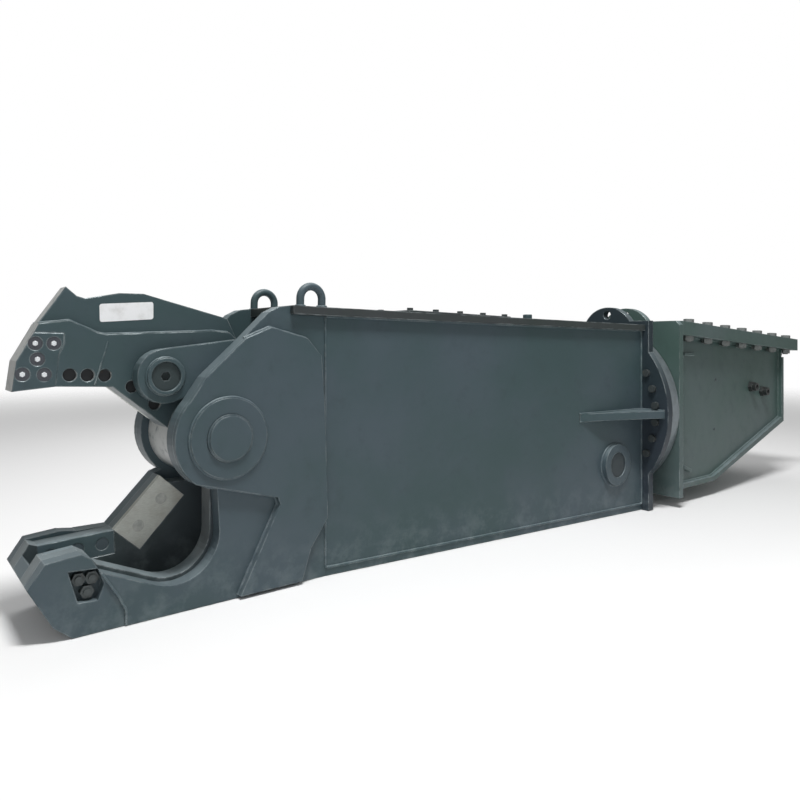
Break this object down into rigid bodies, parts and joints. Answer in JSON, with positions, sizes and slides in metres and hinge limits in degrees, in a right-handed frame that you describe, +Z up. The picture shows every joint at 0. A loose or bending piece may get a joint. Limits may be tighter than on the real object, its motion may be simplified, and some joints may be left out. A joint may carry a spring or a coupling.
{
  "type": "demolition shear",
  "caption": "Excavator demolition shear with a pivoting beak jaw, a forked lower jaw, a box body and a slewing head with a flat adapter plate.",
  "frame": {"origin": "on the ground under the centre of the whole machine's box", "axes": "+Z up, -X towards the jaws, +X towards the slewing head, -Y the near side in the picture; the slewing axis lies along X"},
  "size_m": [4.29, 0.97, 1.0473],
  "materials": {
    "body_paint": "satin grey-green paint on steel plate",
    "dark_paint": "dark satin paint",
    "blade_steel": "bare ground blade steel",
    "fastener_steel": "dull plated",
    "ground_steel": "ground and oiled",
    "ring_steel": "machined",
    "bronze": "bearing bronze"
  },
  "bodies": {
    "main": {"near_side_plate": "body_paint", "far_side_plate": "body_paint", "near_hub_plate": "body_paint", "far_hub_plate": "body_paint", "hub_rings": "body_paint", "near_web": "body_paint", "far_web": "body_paint", "top_plate": "body_paint", "bottom_plate": "body_paint", "throat_bulkhead": "dark_paint", "end_flange": "body_paint", "flange_gussets": "body_paint", "lifting_eyes": "body_paint", "access_cover": "body_paint", "access_cover_bolts": "fastener_steel", "near_nose_plate": "body_paint", "far_nose_plate": "body_paint", "near_jaw_cheek": "dark_paint", "far_jaw_cheek": "dark_paint", "nose_block": "body_paint", "lower_front_blade": "blade_steel", "lower_rear_blade": "blade_steel", "guide_blade": "blade_steel", "lower_blade_bolts": "fastener_steel", "pocket_nuts": "fastener_steel", "pivot_pin": "ground_steel", "pivot_caps": "body_paint", "near_guide_arm": "body_paint", "far_guide_arm": "body_paint", "guide_pucks": "bronze", "cylinder_bosses": "body_paint", "cylinder_pin": "ground_steel", "slew_outer_ring": "ring_steel", "slew_ring_bolts": "fastener_steel", "slew_motor": "dark_paint", "swivel_barrel": "ground_steel"},
    "jaw": {"upper_jaw": "body_paint", "near_jaw_side": "body_paint", "far_jaw_side": "body_paint", "tip_plates": "body_paint", "tip_bolts": "fastener_steel", "jaw_front_blade": "blade_steel", "jaw_rear_blade": "blade_steel", "jaw_blade_bolts": "fastener_steel", "horn_plates": "body_paint", "jaw_bush": "bronze", "rod_pin": "ground_steel"},
    "cylinder": {"cylinder_tube": "dark_paint", "cylinder_gland": "ground_steel"},
    "rod": {"piston_rod": "ground_steel"},
    "head": {"slew_inner_ring": "ring_steel", "slew_balls": "ground_steel", "swivel_spool": "ground_steel", "head_front_plate": "body_paint", "head_sides": "body_paint", "head_belly": "body_paint", "head_top_plates": "body_paint", "adapter_bolts": "fastener_steel", "port_fittings": "fastener_steel"},
    "pinion": {"slew_pinion": "ring_steel"}
  },
  "joints": [
    {"name": "jaw_pivot", "type": "hinge", "parent": "main", "child": "jaw", "pos_m": [-1.555, 0, 0.53], "axis": [0, 1, 0], "range_deg": [-55, 8]},
    {"name": "cylinder_swing", "type": "hinge", "parent": "main", "child": "cylinder", "pos_m": [0.375, 0, 0.245], "axis": [0, 1, 0], "range_deg": [-3, 3]},
    {"name": "rod_slide", "type": "slide", "parent": "cylinder", "child": "rod", "axis": [-0.9648, 0, 0.2629], "range_m": [-0.045, 0.265]},
    {"name": "head_slew", "type": "hinge", "parent": "main", "child": "head", "pos_m": [0.735, 0, 0.485], "axis": [1, 0, 0], "continuous": true},
    {"name": "pinion_spin", "type": "hinge", "parent": "main", "child": "pinion", "pos_m": [0.66, 0, 0.735], "axis": [1, 0, 0], "continuous": true}
  ],
  "couplings": [
    {"joint": "cylinder_swing", "follows": "jaw_pivot", "ratio": -0.032},
    {"joint": "rod_slide", "follows": "jaw_pivot", "m_per_rad": -0.26929},
    {"joint": "pinion_spin", "follows": "head_slew", "ratio": 4.5714}
  ]
}
